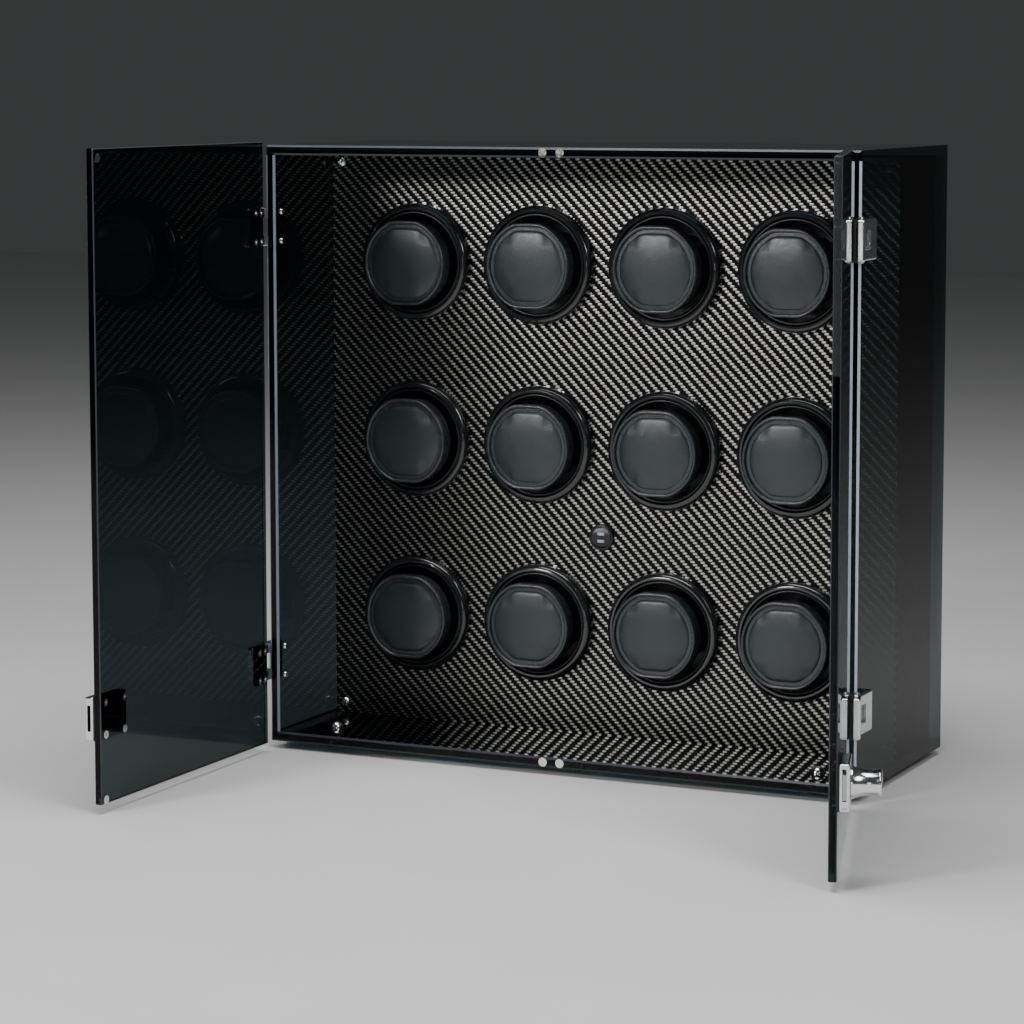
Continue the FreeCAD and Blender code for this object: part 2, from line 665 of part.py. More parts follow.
def hinge_pad(level):
    pad = box(HALF_WIDTH - BLOCK_LENGTH, HALF_WIDTH - BLOCK_SETBACK, BLOCK_FACE, DOOR_OUTER,
              level - BLOCK_HALF, level + BLOCK_HALF)
    for x, z in hinge_screw_places(level):
        pad = pad.cut(rod_y(SCREW_R, x, z, BLOCK_FACE, DOOR_OUTER))
    return pad


# Doors, modelled closed on the right-hand side ---------------------------------

def latch_screw_places():
    first = DOOR_EDGE + LATCH_SCREW_FROM_EDGE
    return [(first + dx, LATCH_Z + dz) for dx in (0, LATCH_SCREW_SPAN)
            for dz in (-LATCH_SCREW_REACH, LATCH_SCREW_REACH)]


def door_screw_places():
    places = latch_screw_places()
    for level in HARDWARE_LEVELS:
        places += hinge_screw_places(level)
    return places


def countersink(x, z):
    """The space of one flush door screw, head at the inner face of the pane."""
    cone = Part.makeCone(DOOR_SCREW_HEAD_R, SCREW_R, DOOR_SCREW_HEAD,
                         Vector(x, DOOR_INNER, z), Vector(0, -1, 0))
    return cone.fuse(rod_y(SCREW_R, x, z, BLOCK_FACE - DOOR_SCREW_GRIP, DOOR_INNER - DOOR_SCREW_HEAD))


def door_screw(x, z):
    """A flush screw with a hexagonal socket in its head."""
    socket_r, socket_depth = 1.2, 1.0
    turns = [math.radians(60 * i) for i in range(7)]
    socket = Part.makePolygon([Vector(x + socket_r * math.cos(turn), DOOR_INNER,
                                      z + socket_r * math.sin(turn)) for turn in turns])
    key = Part.Face(socket).extrude(Vector(0, -socket_depth, 0))
    return countersink(x, z).cut(key)


def door_pane():
    pane = box(DOOR_EDGE, HALF_WIDTH - DOOR_SIDE_GAP, DOOR_OUTER, DOOR_INNER,
               BOTTOM + DOOR_ABOVE_BOTTOM, TOP + DOOR_ABOVE_TOP)
    pane = pane.makeChamfer(DOOR_BEVEL, pane.Edges)
    for x, z in door_screw_places():
        pane = pane.cut(countersink(x, z))
    for z in MAGNET_LEVELS:
        pane = pane.cut(rod_y(MAGNET_R, MAGNET_X, z, DOOR_INNER - MAGNET_DEPTH, DOOR_INNER))
    return pane


def latch_case(slot_low, slot_high, cavity):
    """A hollow block near the free edge, with a tall slot in its end face.

    The slot's ends are heights above the block's middle. The cavity reaches to
    the stated distance from the door's free edge.
    """
    end_wall = 2.0
    case = soft_box(LATCH_EDGE, LATCH_EDGE + LATCH_LENGTH, LATCH_FRONT, BLOCK_FACE,
                    LATCH_Z - LATCH_HALF, LATCH_Z + LATCH_HALF, LATCH_ROUND)
    case = case.cut(box(LATCH_EDGE + end_wall, DOOR_EDGE + cavity,
                        LATCH_FRONT + LATCH_WALL, BLOCK_FACE - LATCH_WALL,
                        LATCH_Z + slot_low - 0.5, LATCH_Z + slot_high + 0.5))
    case = case.cut(box(LATCH_EDGE, LATCH_EDGE + end_wall,
                        LATCH_MIDDLE - LATCH_SLOT_HALF, LATCH_MIDDLE + LATCH_SLOT_HALF,
                        LATCH_Z + slot_low, LATCH_Z + slot_high))
    for x, z in latch_screw_places():
        case = case.cut(rod_y(SCREW_R, x, z, BLOCK_FACE - DOOR_SCREW_GRIP, BLOCK_FACE))
    return case


def latch_body():
    """The right-hand block: bolt slot, bore for the knob's spindle and a sight notch."""
    bore_r = KNOB_SHAFT_R + 0.05
    case = latch_case(-9.0, 13.0, LATCH_CAVITY)
    case = case.cut(rod_y(bore_r, KNOB_X, LATCH_Z, LATCH_FRONT, BLOCK_FACE - 1.0))
    notch_half = 1.6
    return case.cut(box(LATCH_EDGE, LATCH_EDGE + 3, LATCH_MIDDLE - notch_half,
                        LATCH_MIDDLE + notch_half, LATCH_Z - 14.6, LATCH_Z - 11.2))


def strike_body():
    """The left-hand block, modelled on the right and mirrored with its door."""
    return latch_case(-9.5, 10.0, STRIKE_CAVITY)


def latch_knob():
    """A waisted knob with a spindle that reaches through the bolt."""
    base = LATCH_FRONT - 0.3
    tip = base - KNOB_LENGTH
    spindle_end = BLOCK_FACE - 1.3
    waist_r = 8.6
    start = (0, spindle_end)
    steps = [
        [(KNOB_SHAFT_R, spindle_end)],
        [(KNOB_SHAFT_R, base)],
        [(KNOB_BASE_R, base)],
        [(KNOB_BASE_R, base - 1.0)],
        [(waist_r, base - 0.55 * KNOB_LENGTH), (waist_r + 1.0, tip + 1.6)],
        [(waist_r + 0.7, tip + 0.5), (waist_r - 0.2, tip)],
        [(waist_r - 2.0, tip)],
        [(waist_r - 2.8, tip + 0.8)],
        [(0, tip + 0.8)],
    ]
    return turned(start, steps, KNOB_X, LATCH_Z)


def latch_bolt():
    """A flat bolt with a long window round the knob's spindle."""
    tip = DOOR_EDGE + 1.5
    bolt = box(tip, tip + BOLT_LENGTH, LATCH_MIDDLE - BOLT_THICK / 2,
               LATCH_MIDDLE + BOLT_THICK / 2, LATCH_Z - BOLT_BELOW, LATCH_Z + BOLT_ABOVE)
    window = KNOB_SHAFT_R + 0.4
    return bolt.cut(box(KNOB_X - window, KNOB_X + window + LATCH_TRAVEL,
                        LATCH_MIDDLE - BOLT_THICK, LATCH_MIDDLE + BOLT_THICK,
                        LATCH_Z - window, LATCH_Z + window))


def latch_pad():
    pad = box(LATCH_EDGE, LATCH_EDGE + LATCH_LENGTH, BLOCK_FACE, DOOR_OUTER,
              LATCH_Z - LATCH_HALF, LATCH_Z + LATCH_HALF)
    for x, z in latch_screw_places():
        pad = pad.cut(rod_y(SCREW_R, x, z, BLOCK_FACE, DOOR_OUTER))
    return pad


def mirrored(shape, side):
    """The shape itself on the right, or its mirror image on the left."""
    if side > 0:
        return shape
    return shape.mirror(Vector(0, 0, 0), Vector(1, 0, 0))


def swung(shape, side):
    """A closed door part, taken to its side and to the angle that the door rests at."""
    angle = RIGHT_DOOR_OPEN if side > 0 else -LEFT_DOOR_OPEN
    placed = mirrored(shape, side)
    placed.rotate(Vector(side * HINGE_X, HINGE_Y, 0), Vector(0, 0, 1), angle)
    return placed


# Build -----------------------------------------------------------------------

def build_shell():
    save("top_panel", level_panel(CEILING, TOP, MAGNET_LEVELS[1]))
    save("bottom_panel", bottom_panel())
    save("left_wall", side_wall(-1))
    save("right_wall", side_wall(1))
    save("feet", group([foot(x, y) for x, y in foot_places()]))
    save("foot_screws", group([foot_screw(x, y) for x, y in foot_places()]))
    save("frame_magnets", magnets((-MAGNET_X, MAGNET_X), FRONT))


def build_front():
    save("carbon_panel", carbon_panel())
    save("bezel_rings", group([bezel_ring(x, z) for row, column, x, z in ROTORS]))
    screws = [corner_screw(x, z, PANEL_FACE, 1) for x, z in post_screw_places()]
    screws += [corner_screw(x, z, COVER_BACK, -1) for x, z in post_screw_places()]
    save("corner_screws", group(screws))
    save("switch_body", switch_body())
    save("switch_rocker", switch_rocker())


def build_rotors():
    for row, column, x, z in ROTORS:
        place = "row" + str(row) + "_col" + str(column)
        save("rotor_cup_" + place, rotor_cup(x, z))
        save("watch_cushion_" + place, watch_cushion(x, z))


def build_compartment():
    save("rear_frame", rear_frame())
    save("motor_plate", motor_plate())
    save("gear_motors", group([gear_motor(x, z) for row, column, x, z in ROTORS]))
    save("motor_screws", group([motor_screw(x + dx, z) for row, column, x, z in ROTORS
                                for dx in (-MOTOR_SCREW_REACH, MOTOR_SCREW_REACH)]))
    save("circuit_board", circuit_board())
    save("back_cover", back_cover())
    save("power_inlet", power_inlet())


def build_wall_hinges():
    halves = [(side, level) for side in (-1, 1) for level in HARDWARE_LEVELS]
    save("wall_hinge_blocks", group([wall_hinge_block(s, level) for s, level in halves]))
    save("hinge_pins", group([hinge_pin(s, level) for s, level in halves]))
    save("wall_hinge_screws", group([wall_screw(s, y, z) for s in (-1, 1)
                                     for y, z in wall_screw_places()]))


def build_door(side, name):
    """The parts that both doors have."""
    pads = [hinge_pad(level) for level in HARDWARE_LEVELS] + [latch_pad()]
    screws = [door_screw(x, z) for x, z in door_screw_places()]
    save(name + "_door_pane", swung(door_pane(), side))
    save(name + "_hinge_blocks",
         swung(group([door_hinge_block(level) for level in HARDWARE_LEVELS]), side))
    save(name + "_door_pads", swung(group(pads), side))
    save(name + "_door_screws", swung(group(screws), side))
    save(name + "_door_magnets",
         swung(magnets((MAGNET_X,), DOOR_INNER - MAGNET_DEPTH), side))


def build_latch():
    save("strike_body", swung(strike_body(), -1))
    save("latch_body", swung(latch_body(), 1))
    save("latch_knob", swung(latch_knob(), 1))
    save("latch_bolt", swung(latch_bolt(), 1))


os.makedirs("parts", exist_ok=True)
build_shell()
build_front()
build_rotors()
build_compartment()
build_wall_hinges()
build_door(-1, "left")
build_door(1, "right")
build_latch()
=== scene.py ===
"""Looks of the watch winder cabinet: smoked acrylic, carbon weave, leather cushions.

Every length is in metres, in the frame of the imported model, and the places of the
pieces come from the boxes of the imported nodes.
"""
import bpy
import bmesh
import json
import math
from mathutils import Matrix, Vector


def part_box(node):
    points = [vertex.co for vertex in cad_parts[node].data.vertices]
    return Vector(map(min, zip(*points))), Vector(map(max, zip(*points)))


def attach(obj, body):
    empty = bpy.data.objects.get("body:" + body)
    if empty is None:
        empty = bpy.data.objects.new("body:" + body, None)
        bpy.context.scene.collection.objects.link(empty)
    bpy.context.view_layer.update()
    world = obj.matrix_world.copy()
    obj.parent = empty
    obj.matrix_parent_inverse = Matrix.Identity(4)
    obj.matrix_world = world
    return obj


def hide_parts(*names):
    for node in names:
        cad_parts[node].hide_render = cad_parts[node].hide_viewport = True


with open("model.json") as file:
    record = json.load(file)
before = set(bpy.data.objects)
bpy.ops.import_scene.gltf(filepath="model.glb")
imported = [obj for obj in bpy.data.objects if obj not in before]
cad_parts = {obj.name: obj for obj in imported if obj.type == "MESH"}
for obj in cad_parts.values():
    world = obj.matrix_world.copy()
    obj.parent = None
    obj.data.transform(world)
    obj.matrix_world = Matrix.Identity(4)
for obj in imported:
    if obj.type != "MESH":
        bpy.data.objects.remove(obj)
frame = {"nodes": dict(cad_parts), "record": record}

MM = 0.001

# Camera, solved for the angle that the object is seen from
CAMERA_PLACE = (1.042, -2.380, 0.546)
CAMERA_YAW = 25.27
CAMERA_PITCH = 5.91
CAMERA_ROLL = 0.08
CAMERA_LENS = 114.9
CAMERA_SHIFT_Y = -0.1

# Smoked acrylic: a sheet's broad faces, bevels and cut edges are told apart by how nearly they look
# along the sheet's thickness
EDGE_FACING_LIMIT = 0.3
BEVEL_FACING = math.sqrt(0.5)
BEVEL_FACING_SPREAD = 0.15
BEVEL_OPACITY = 0.85
BEVEL_ROUGHNESS = 0.2
# Painted glow of each sheet's bevels, beside the brightest of them; the sheets differ by how much light
# falls on them
PAINTED_BEVEL_GLOW = {"right_wall": 1.0, "left_wall": 0.45, "top_panel": 0.16, "bottom_panel": 0.08,
              "left_door_pane": 0.10, "right_door_pane": 0.10}

# Carbon weave: the width of a tow, the tows that the pattern and a float span, and the floats' arch
TOW = 2.17 * MM
TWILL_REPEAT = 4.0
FLOAT_LENGTH = 2.0
ARCH_ALONG = 0.45
ARCH_ACROSS = 0.6
FIBRE_SCALE = 900.0

# Cushion: its corded edge, how full its flats are, and how far its pieces may puff up
PIPING_R = 1.5 * MM
PIPING_SIDES = 12
PIPING_DEPTH = 1.9 * MM
SEAM_DEPTH = 13.0 * MM
GROOVE = 1.6 * MM
FLAT_FULLNESS = 2.4 * MM
CORNER_SOFTNESS = 4.2 * MM
BAND_INSET = 0.4 * MM
OUTLINE_POINTS = 144
FACE_VOXEL = 2.0 * MM
FACE_PUFF = 0.9 * MM
PILLOW_HALF_X = 24.4 * MM
PILLOW_HALF_Z = 25.4 * MM
PILLOW_FRONT = 12.0 * MM
PILLOW_END_GAP = 1.6 * MM
PILLOW_ROUND = 7.0 * MM
PILLOW_VOXEL = 2.6 * MM
PILLOW_PUFF = 1.5 * MM
CLOTH_FRAMES = 20
CLOTH_PRESSURE = 4.0

# Bars printed on the switch rocker
BAR_HALF_WIDTH = 3.0 * MM
BAR_HEIGHT = 2.4 * MM
BAR_OFFSET = 2.9 * MM
BAR_CORNER = 0.5 * MM
BAR_LIFT = 0.05 * MM
BAR_THICK = 0.12 * MM
BAR_STEPS = 6
ROCKER_CROWN_R = 22.0 * MM

FLOOR_HALF = 6.0

ROW_COUNT = 3
COLUMN_COUNT = 4
PLACES = [f"row{row}_col{column}"
          for row in range(1, ROW_COUNT + 1) for column in range(1, COLUMN_COUNT + 1)]


# Node-tree helpers ------------------------------------------------------------

class Shader:
    """A material under construction: its tree, its Principled shader and short ways to add nodes."""

    def __init__(self, name, **settings):
        self.material = bpy.data.materials.new(name)
        self.material.use_nodes = True
        self.tree = self.material.node_tree
        self.principled = self.tree.nodes["Principled BSDF"]
        for socket, value in settings.items():
            self.principled.inputs[socket.replace("_", " ")].default_value = value
        self.coordinates = self.add("ShaderNodeTexCoord")
        self.place = self.coordinates.outputs["Object"]

    def add(self, kind, **properties):
        node = self.tree.nodes.new(kind)
        for key, value in properties.items():
            setattr(node, key, value)
        return node

    def link(self, source, target):
        """Connect a socket, or set a plain value."""
        if isinstance(source, bpy.types.NodeSocket):
            self.tree.links.new(source, target)
        else:
            target.default_value = source

    def math(self, operation, first, second=0.0, third=0.0):
        node = self.add("ShaderNodeMath", operation=operation)
        for socket, value in zip(node.inputs, (first, second, third)):
            self.link(value, socket)
        return node.outputs[0]

    def axes(self):
        node = self.add("ShaderNodeSeparateXYZ")
        self.link(self.place, node.inputs[0])
        return node.outputs

    def stretched(self, scale):
        """Object coordinates scaled by a triple."""
        node = self.add("ShaderNodeVectorMath", operation="MULTIPLY")
        self.link(self.place, node.inputs[0])
        node.inputs[1].default_value = scale
        return node.outputs[0]

    def noise(self, scale, detail=4.0, roughness=0.55, vector=None):
        node = self.add("ShaderNodeTexNoise")
        self.link(vector or self.place, node.inputs["Vector"])
        node.inputs["Scale"].default_value = scale
        node.inputs["Detail"].default_value = detail
        node.inputs["Roughness"].default_value = roughness
        return node.outputs["Fac"]

    def cells(self, scale):
        """Distance to the edges of a pattern of cells."""
        node = self.add("ShaderNodeTexVoronoi", feature="DISTANCE_TO_EDGE")
        self.link(self.place, node.inputs["Vector"])
        node.inputs["Scale"].default_value = scale
        return node.outputs["Distance"]

    def spread(self, value, low, high, out_low=0.0, out_high=1.0):
        """Map a range of values onto another, clamped."""
        node = self.add("ShaderNodeMapRange")
        self.link(value, node.inputs["Value"])
        for name, number in (("From Min", low), ("From Max", high),
                             ("To Min", out_low), ("To Max", out_high)):
            node.inputs[name].default_value = number
        return node.outputs["Result"]

    def colours(self, factor, first, second):
        node = self.add("ShaderNodeMix", data_type="RGBA")
        self.link(factor, node.inputs["Factor"])
        node.inputs["A"].default_value = (*first, 1.0)
        node.inputs["B"].default_value = (*second, 1.0)
        return node.outputs["Result"]

    def choose(self, which, if_zero, if_one, kind="FLOAT"):
        """One of two values, or of two colours."""
        node = self.add("ShaderNodeMix", data_type=kind)
        factor, first, second = [socket for socket in node.inputs if socket.enabled]
        self.link(which, factor)
        self.link(if_zero, first)
        self.link(if_one, second)
        return [socket for socket in node.outputs if socket.enabled][0]

    def arch(self, place, length, power):
        """A hump over a stretch of the stated length: 0 at its ends and 1 in its middle."""
        turn = self.math("MULTIPLY", place, math.pi / length)
        return self.math("POWER", self.math("MAXIMUM", self.math("SINE", turn), 0.0), power)

    def base(self, source):
        self.link(source, self.principled.inputs["Base Color"])

    def roughness(self, source):
        self.link(source, self.principled.inputs["Roughness"])

    def bump(self, height, depth, strength):
        node = self.add("ShaderNodeBump")
        self.link(height, node.inputs["Height"])
        node.inputs["Distance"].default_value = depth
        node.inputs["Strength"].default_value = strength
        self.link(node.outputs["Normal"], self.principled.inputs["Normal"])


# Materials --------------------------------------------------------------------

def smoked_acrylic(sheet, facing):
    """Polished tinted sheet. Its cut edges are painted a little lighter and its bevels much lighter, as
    painted glow for the light that they gather.
    """
    s = Shader("smoked_acrylic_" + sheet, IOR=1.24)
    aligned = s.add("ShaderNodeVectorMath", operation="DOT_PRODUCT")
    s.link(s.coordinates.outputs["Normal"], aligned.inputs[0])
    aligned.inputs[1].default_value = facing
    along = s.math("ABSOLUTE", aligned.outputs["Value"])
    edge = s.math("LESS_THAN", along, EDGE_FACING_LIMIT)
    bevel = s.math("COMPARE", along, BEVEL_FACING, BEVEL_FACING_SPREAD)
    tint = s.colours(s.noise(2.5, 2.0), (0.030, 0.044, 0.050), (0.035, 0.051, 0.057))
    # The cut edges are painted lighter than the tint as painted glow, laid over streaks that are the
    # edges' own
    streaks = s.noise(90.0, 3.0, 0.6)
    cut = s.colours(streaks, (0.05, 0.07, 0.08), (0.09, 0.12, 0.14))
    # The bevels are painted pale blue and made mostly opaque: painted glow for the light that they catch,
    # scaled per sheet by how much light falls there
    glow = PAINTED_BEVEL_GLOW[sheet]
    painted_bevel_glow = s.colours(streaks, (0.46 * glow, 0.54 * glow, 0.66 * glow),
                         (0.66 * glow, 0.74 * glow, 0.88 * glow))
    s.base(s.choose(bevel, s.choose(edge, tint, cut, "RGBA"), painted_bevel_glow, "RGBA"))
    s.link(s.math("SUBTRACT", 1.0, s.math("MULTIPLY", bevel, BEVEL_OPACITY)),
           s.principled.inputs["Transmission Weight"])
    smear = s.noise(14.0, 5.0, 0.6, s.stretched((1.0, 1.0, 0.35)))
    s.roughness(s.math("ADD", s.spread(smear, 0.45, 0.8, 0.0, 0.014),
                       s.math("MULTIPLY", bevel, BEVEL_ROUGHNESS)))
    return s.material


def widest_facing(node):
    """The direction that the largest face of a sheet looks."""
    largest = max(node.data.polygons, key=lambda face: face.area)
    return largest.normal


def carbon_weave():
    """Two-by-two twill under clear lacquer: rows of floats step down to the right, the weft floats painted
    bright as painted highlight and the warp painted dark as painted shade.
    """
    s = Shader("carbon_weave", Metallic=1.0, Coat_Weight=0.15, Coat_Roughness=0.3, Coat_IOR=1.45)
    x, _, z = s.axes()
    across = s.math("DIVIDE", x, TOW)
    up = s.math("DIVIDE", z, TOW)
    column = s.math("FLOOR", across)
    row = s.math("FLOOR", up)
    # A tow shows for the length of a float and then dips under for as long, one tow further on in each row
    along_weft = s.math("FLOORED_MODULO", s.math("ADD", across, row), TWILL_REPEAT)
    along_warp = s.math("FLOORED_MODULO", s.math("ADD", up, column), TWILL_REPEAT)
    along_warp = s.math("SUBTRACT", along_warp, FLOAT_LENGTH)
    weft = s.math("LESS_THAN", along_weft, FLOAT_LENGTH)
    crown_weft = s.math("MULTIPLY", s.arch(along_weft, FLOAT_LENGTH, ARCH_ALONG),
                        s.arch(s.math("FRACT", up), 1.0, ARCH_ACROSS))
    crown_warp = s.math("MULTIPLY", s.arch(along_warp, FLOAT_LENGTH, ARCH_ALONG),
                        s.arch(s.math("FRACT", across), 1.0, ARCH_ACROSS))
    fibre_weft = s.noise(FIBRE_SCALE, 2.0, 0.5, s.stretched((0.10, 1.0, 3.0)))
    fibre_warp = s.noise(FIBRE_SCALE, 2.0, 0.5, s.stretched((3.0, 1.0, 0.10)))
    crown = s.choose(weft, crown_warp, crown_weft)
    fibres = s.choose(weft, fibre_warp, fibre_weft)
    # Painted highlight: the weft floats are painted bright, most over each float's crown and patchy along
    # its fibres, and the warp near black as painted shade, for the streak of light that only the weft tows
    # catch from the key light
    weft_highlight_patches = s.math("MULTIPLY", crown_weft, s.spread(fibres, 0.25, 0.75, 0.7, 1.3))
    painted_weft_highlight = s.math("MULTIPLY", weft, s.spread(weft_highlight_patches, 0.25, 1.0))
    s.base(s.colours(painted_weft_highlight, (0.007, 0.007, 0.008), (0.62, 0.60, 0.56)))
    s.roughness(s.spread(fibres, 0.3, 0.7, 0.27, 0.39))
    s.bump(s.math("ADD", crown, s.math("MULTIPLY", fibres, 0.12)), 0.16 * MM, 0.9)
    return s.material


def gloss_black():
    """Moulded gloss plastic with a trace of orange peel."""
    s = Shader("gloss_black", Base_Color=(0.012, 0.013, 0.015, 1), Coat_Weight=0.6, Coat_Roughness=0.04)
    s.roughness(s.spread(s.noise(45.0), 0.3, 0.75, 0.13, 0.24))
    s.bump(s.noise(420.0, 2.0), 0.03 * MM, 0.35)
    return s.material


def moulded_black():
    """Semi-matt moulding, for the cups and the switch."""
    s = Shader("moulded_black", Base_Color=(0.011, 0.013, 0.015, 1))
    s.roughness(s.spread(s.noise(70.0), 0.3, 0.75, 0.30, 0.42))
    s.bump(s.noise(1400.0, 3.0), 0.03 * MM, 0.5)
    return s.material


def satin_black():
    """Fine-grained black sheet and mouldings."""
    s = Shader("satin_black")
    s.base(s.colours(s.noise(60.0), (0.014, 0.014, 0.015), (0.028, 0.028, 0.030)))
    s.roughness(s.spread(s.noise(30.0), 0.3, 0.7, 0.47, 0.55))
    s.bump(s.noise(2600.0, 3.0), 0.05 * MM, 0.5)
    return s.material


def black_anodised():
    """Anodised aluminium sheet with a rolled grain."""
    s = Shader("black_anodised", Metallic=0.9)
    grain = s.noise(500.0, 3.0, 0.5, s.stretched((0.04, 1.0, 1.0)))
    s.base(s.colours(grain, (0.030, 0.030, 0.034), (0.075, 0.075, 0.080)))
    s.roughness(s.spread(grain, 0.3, 0.7, 0.34, 0.5))
    s.bump(grain, 0.02 * MM, 0.4)
    return s.material


def satin_chrome():
    """Chrome plate over lightly brushed metal, with hairline wipe marks."""
    s = Shader("satin_chrome", Metallic=1.0)
    s.base(s.colours(s.noise(110.0), (0.66, 0.66, 0.67), (0.86, 0.86, 0.87)))
    grain = s.noise(900.0, 4.0, 0.55, s.stretched((1.0, 1.0, 0.12)))
    s.roughness(s.spread(grain, 0.3, 0.75, 0.10, 0.24))
    s.bump(grain, 0.012 * MM, 0.5)
    return s.material


def brushed_steel():
    """Bare steel, brushed along its height."""
    s = Shader("brushed_steel", Metallic=1.0)
    grain = s.noise(700.0, 3.0, 0.5, s.stretched((1.0, 1.0, 0.05)))
    s.base(s.colours(grain, (0.38, 0.38, 0.39), (0.60, 0.60, 0.60)))
    s.roughness(s.spread(grain, 0.3, 0.7, 0.22, 0.4))
    s.bump(grain, 0.02 * MM, 0.4)
    return s.material


def nickel():
    """Plating of the magnets, a little dulled."""
    s = Shader("nickel", Metallic=1.0)
    s.base(s.colours(s.noise(300.0), (0.56, 0.55, 0.52), (0.74, 0.73, 0.70)))
    s.roughness(s.spread(s.noise(500.0, 5.0), 0.3, 0.75, 0.14, 0.32))
    return s.material


def rubber():
    """Moulded rubber of the feet."""
    s = Shader("rubber")
    s.base(s.colours(s.noise(80.0), (0.012, 0.012, 0.012), (0.026, 0.026, 0.026)))
    s.roughness(s.spread(s.noise(50.0), 0.3, 0.7, 0.62, 0.8))
    s.bump(s.noise(1500.0, 3.0), 0.08 * MM, 0.6)
    return s.material


def gasket():
    """Thin pads between the blocks and the panes."""
    s = Shader("gasket")
    s.base(s.colours(s.noise(200.0), (0.008, 0.008, 0.009), (0.018, 0.018, 0.019)))
    s.roughness(s.spread(s.noise(90.0), 0.3, 0.7, 0.5, 0.7))
    s.bump(s.noise(2200.0, 2.0), 0.04 * MM, 0.5)
    return s.material


def leather(name, dark, light, smoothest, lacquer):
    """Fine-grained leather: pebbles with creases between them, and slow changes of tone."""
    s = Shader(name, Coat_Weight=lacquer, Coat_Roughness=0.3)
    pebbles = s.cells(900.0)
    tone = s.noise(55.0, 3.0)
    s.base(s.colours(tone, dark, light))
    s.roughness(s.spread(s.noise(140.0, 4.0), 0.3, 0.75, smoothest, smoothest + 0.16))
    crease = s.spread(pebbles, 0.0, 0.22)
    height = s.math("ADD", crease, s.math("MULTIPLY", s.noise(380.0, 3.0), 0.6))
    s.bump(height, 0.07 * MM, 0.55)
    return s.material


def circuit_green():
    """Solder mask with copper tracks and pale pads."""
    s = Shader("circuit_green", Coat_Weight=0.3)
    tracks = s.spread(s.cells(160.0), 0.05, 0.09)
    s.base(s.colours(tracks, (0.06, 0.24, 0.10), (0.012, 0.085, 0.035)))
    s.roughness(s.spread(s.noise(200.0), 0.3, 0.7, 0.28, 0.42))
    s.bump(tracks, 0.05 * MM, 0.4)
    return s.material


def printed_white():
    """Pale blue-white ink of the switch's bars."""
    s = Shader("printed_white")
    s.base(s.colours(s.noise(900.0), (0.42, 0.55, 0.66), (0.56, 0.70, 0.80)))
    s.roughness(s.spread(s.noise(600.0), 0.3, 0.7, 0.35, 0.5))
    return s.material


def pale_floor():
    """Plain pale studio floor."""
    s = Shader("pale_floor")
    s.base(s.colours(s.noise(3.0), (0.72, 0.72, 0.715), (0.76, 0.76, 0.755)))
    s.roughness(s.spread(s.noise(8.0), 0.3, 0.7, 0.5, 0.6))
    return s.material


def dress_nodes():
    """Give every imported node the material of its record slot, and each sheet its own acrylic."""
    made = {
        "carbon": carbon_weave(),
        "gloss_black": gloss_black(),
        "satin_black": satin_black(),
        "black_aluminium": black_anodised(),
        "chrome": satin_chrome(),
        "steel": brushed_steel(),
        "nickel": nickel(),
        "rubber": rubber(),
        "pad": gasket(),
        "circuit": circuit_green(),
    }
    cups_and_switch = moulded_black()
    for part in frame["record"]["subparts"]:
        node = frame["nodes"][part["node"]]
        if part["material_slot"] == "leather":
            continue
        if part["material_slot"] == "smoked_acrylic":
            material = smoked_acrylic(part["node"], widest_facing(node))
        elif part["node"].startswith(("rotor_cup", "switch")):
            material = cups_and_switch
        else:
            material = made[part["material_slot"]]
        for slot in node.material_slots:
            slot.material = material


# Mesh helpers -----------------------------------------------------------------

def make_object(name, mesh_data):
    piece = bpy.data.objects.new(name, mesh_data)
    bpy.context.scene.collection.objects.link(piece)
    return piece


def from_bmesh(name, mesh):
    bmesh.ops.recalc_face_normals(mesh, faces=mesh.faces)
    data = bpy.data.meshes.new(name)
    mesh.to_mesh(data)
    mesh.free()
    data.shade_smooth()
    return make_object(name, data)


def settle(piece):
    """Replace the piece's mesh with what its modifiers make of it."""
    bpy.context.view_layer.update()
    evaluated = piece.evaluated_get(bpy.context.evaluated_depsgraph_get())
    made = bpy.data.meshes.new_from_object(evaluated)
    piece.modifiers.clear()
    piece.data = made
    made.shade_smooth()


def join(name, pieces):
    """One object from several, each of which keeps its material."""
    mesh = bmesh.new()
    materials = []
    for piece in pieces:
        first = len(mesh.faces)
        mesh.from_mesh(piece.data)
        mesh.faces.ensure_lookup_table()
        for face in mesh.faces[first:]:
            face.material_index = len(materials)
        materials.append(piece.data.materials[0])
        bpy.data.objects.remove(piece)
    data = bpy.data.meshes.new(name)
    mesh.to_mesh(data)
    mesh.free()
    for material in materials:
        data.materials.append(material)
    data.shade_smooth()
    return data


# Cushions ---------------------------------------------------------------------

def flattened_circle(radius, flat, turn):
    """A point of a circle whose top and bottom are pressed flat, with broad soft corners."""
    x = radius * math.cos(turn)
    z = radius * math.sin(turn)
    start = flat - CORNER_SOFTNESS
    over = (abs(z) - start) / (radius - start)
    if over <= 0:
        return x, z
    eased = start + CORNER_SOFTNESS * math.sin(over * math.pi / 2) ** 0.9
    return x, math.copysign(min(eased, abs(z)), z)


def outline(radius, flat):
    return [flattened_circle(radius, flat, 2 * math.pi * i / OUTLINE_POINTS)
            for i in range(OUTLINE_POINTS)]


def drum(name, sections, material):
    """A closed form through flattened circles. Each section is (radius, flat, y)."""
    mesh = bmesh.new()
    rings = [[mesh.verts.new((x, y, z)) for x, z in outline(radius, flat)]
             for radius, flat, y in sections]
    for near, far in zip(rings, rings[1:]):
        for i in range(OUTLINE_POINTS):
            j = (i + 1) % OUTLINE_POINTS
            mesh.faces.new((near[i], near[j], far[j], far[i]))
    for ring, section in ((rings[0], sections[0]), (rings[-1], sections[-1])):
        centre = mesh.verts.new((0, section[2], 0))
        for i in range(OUTLINE_POINTS):
            mesh.faces.new((ring[i], ring[(i + 1) % OUTLINE_POINTS], centre))
    piece = from_bmesh(name, mesh)
    piece.data.materials.append(material)
    return piece


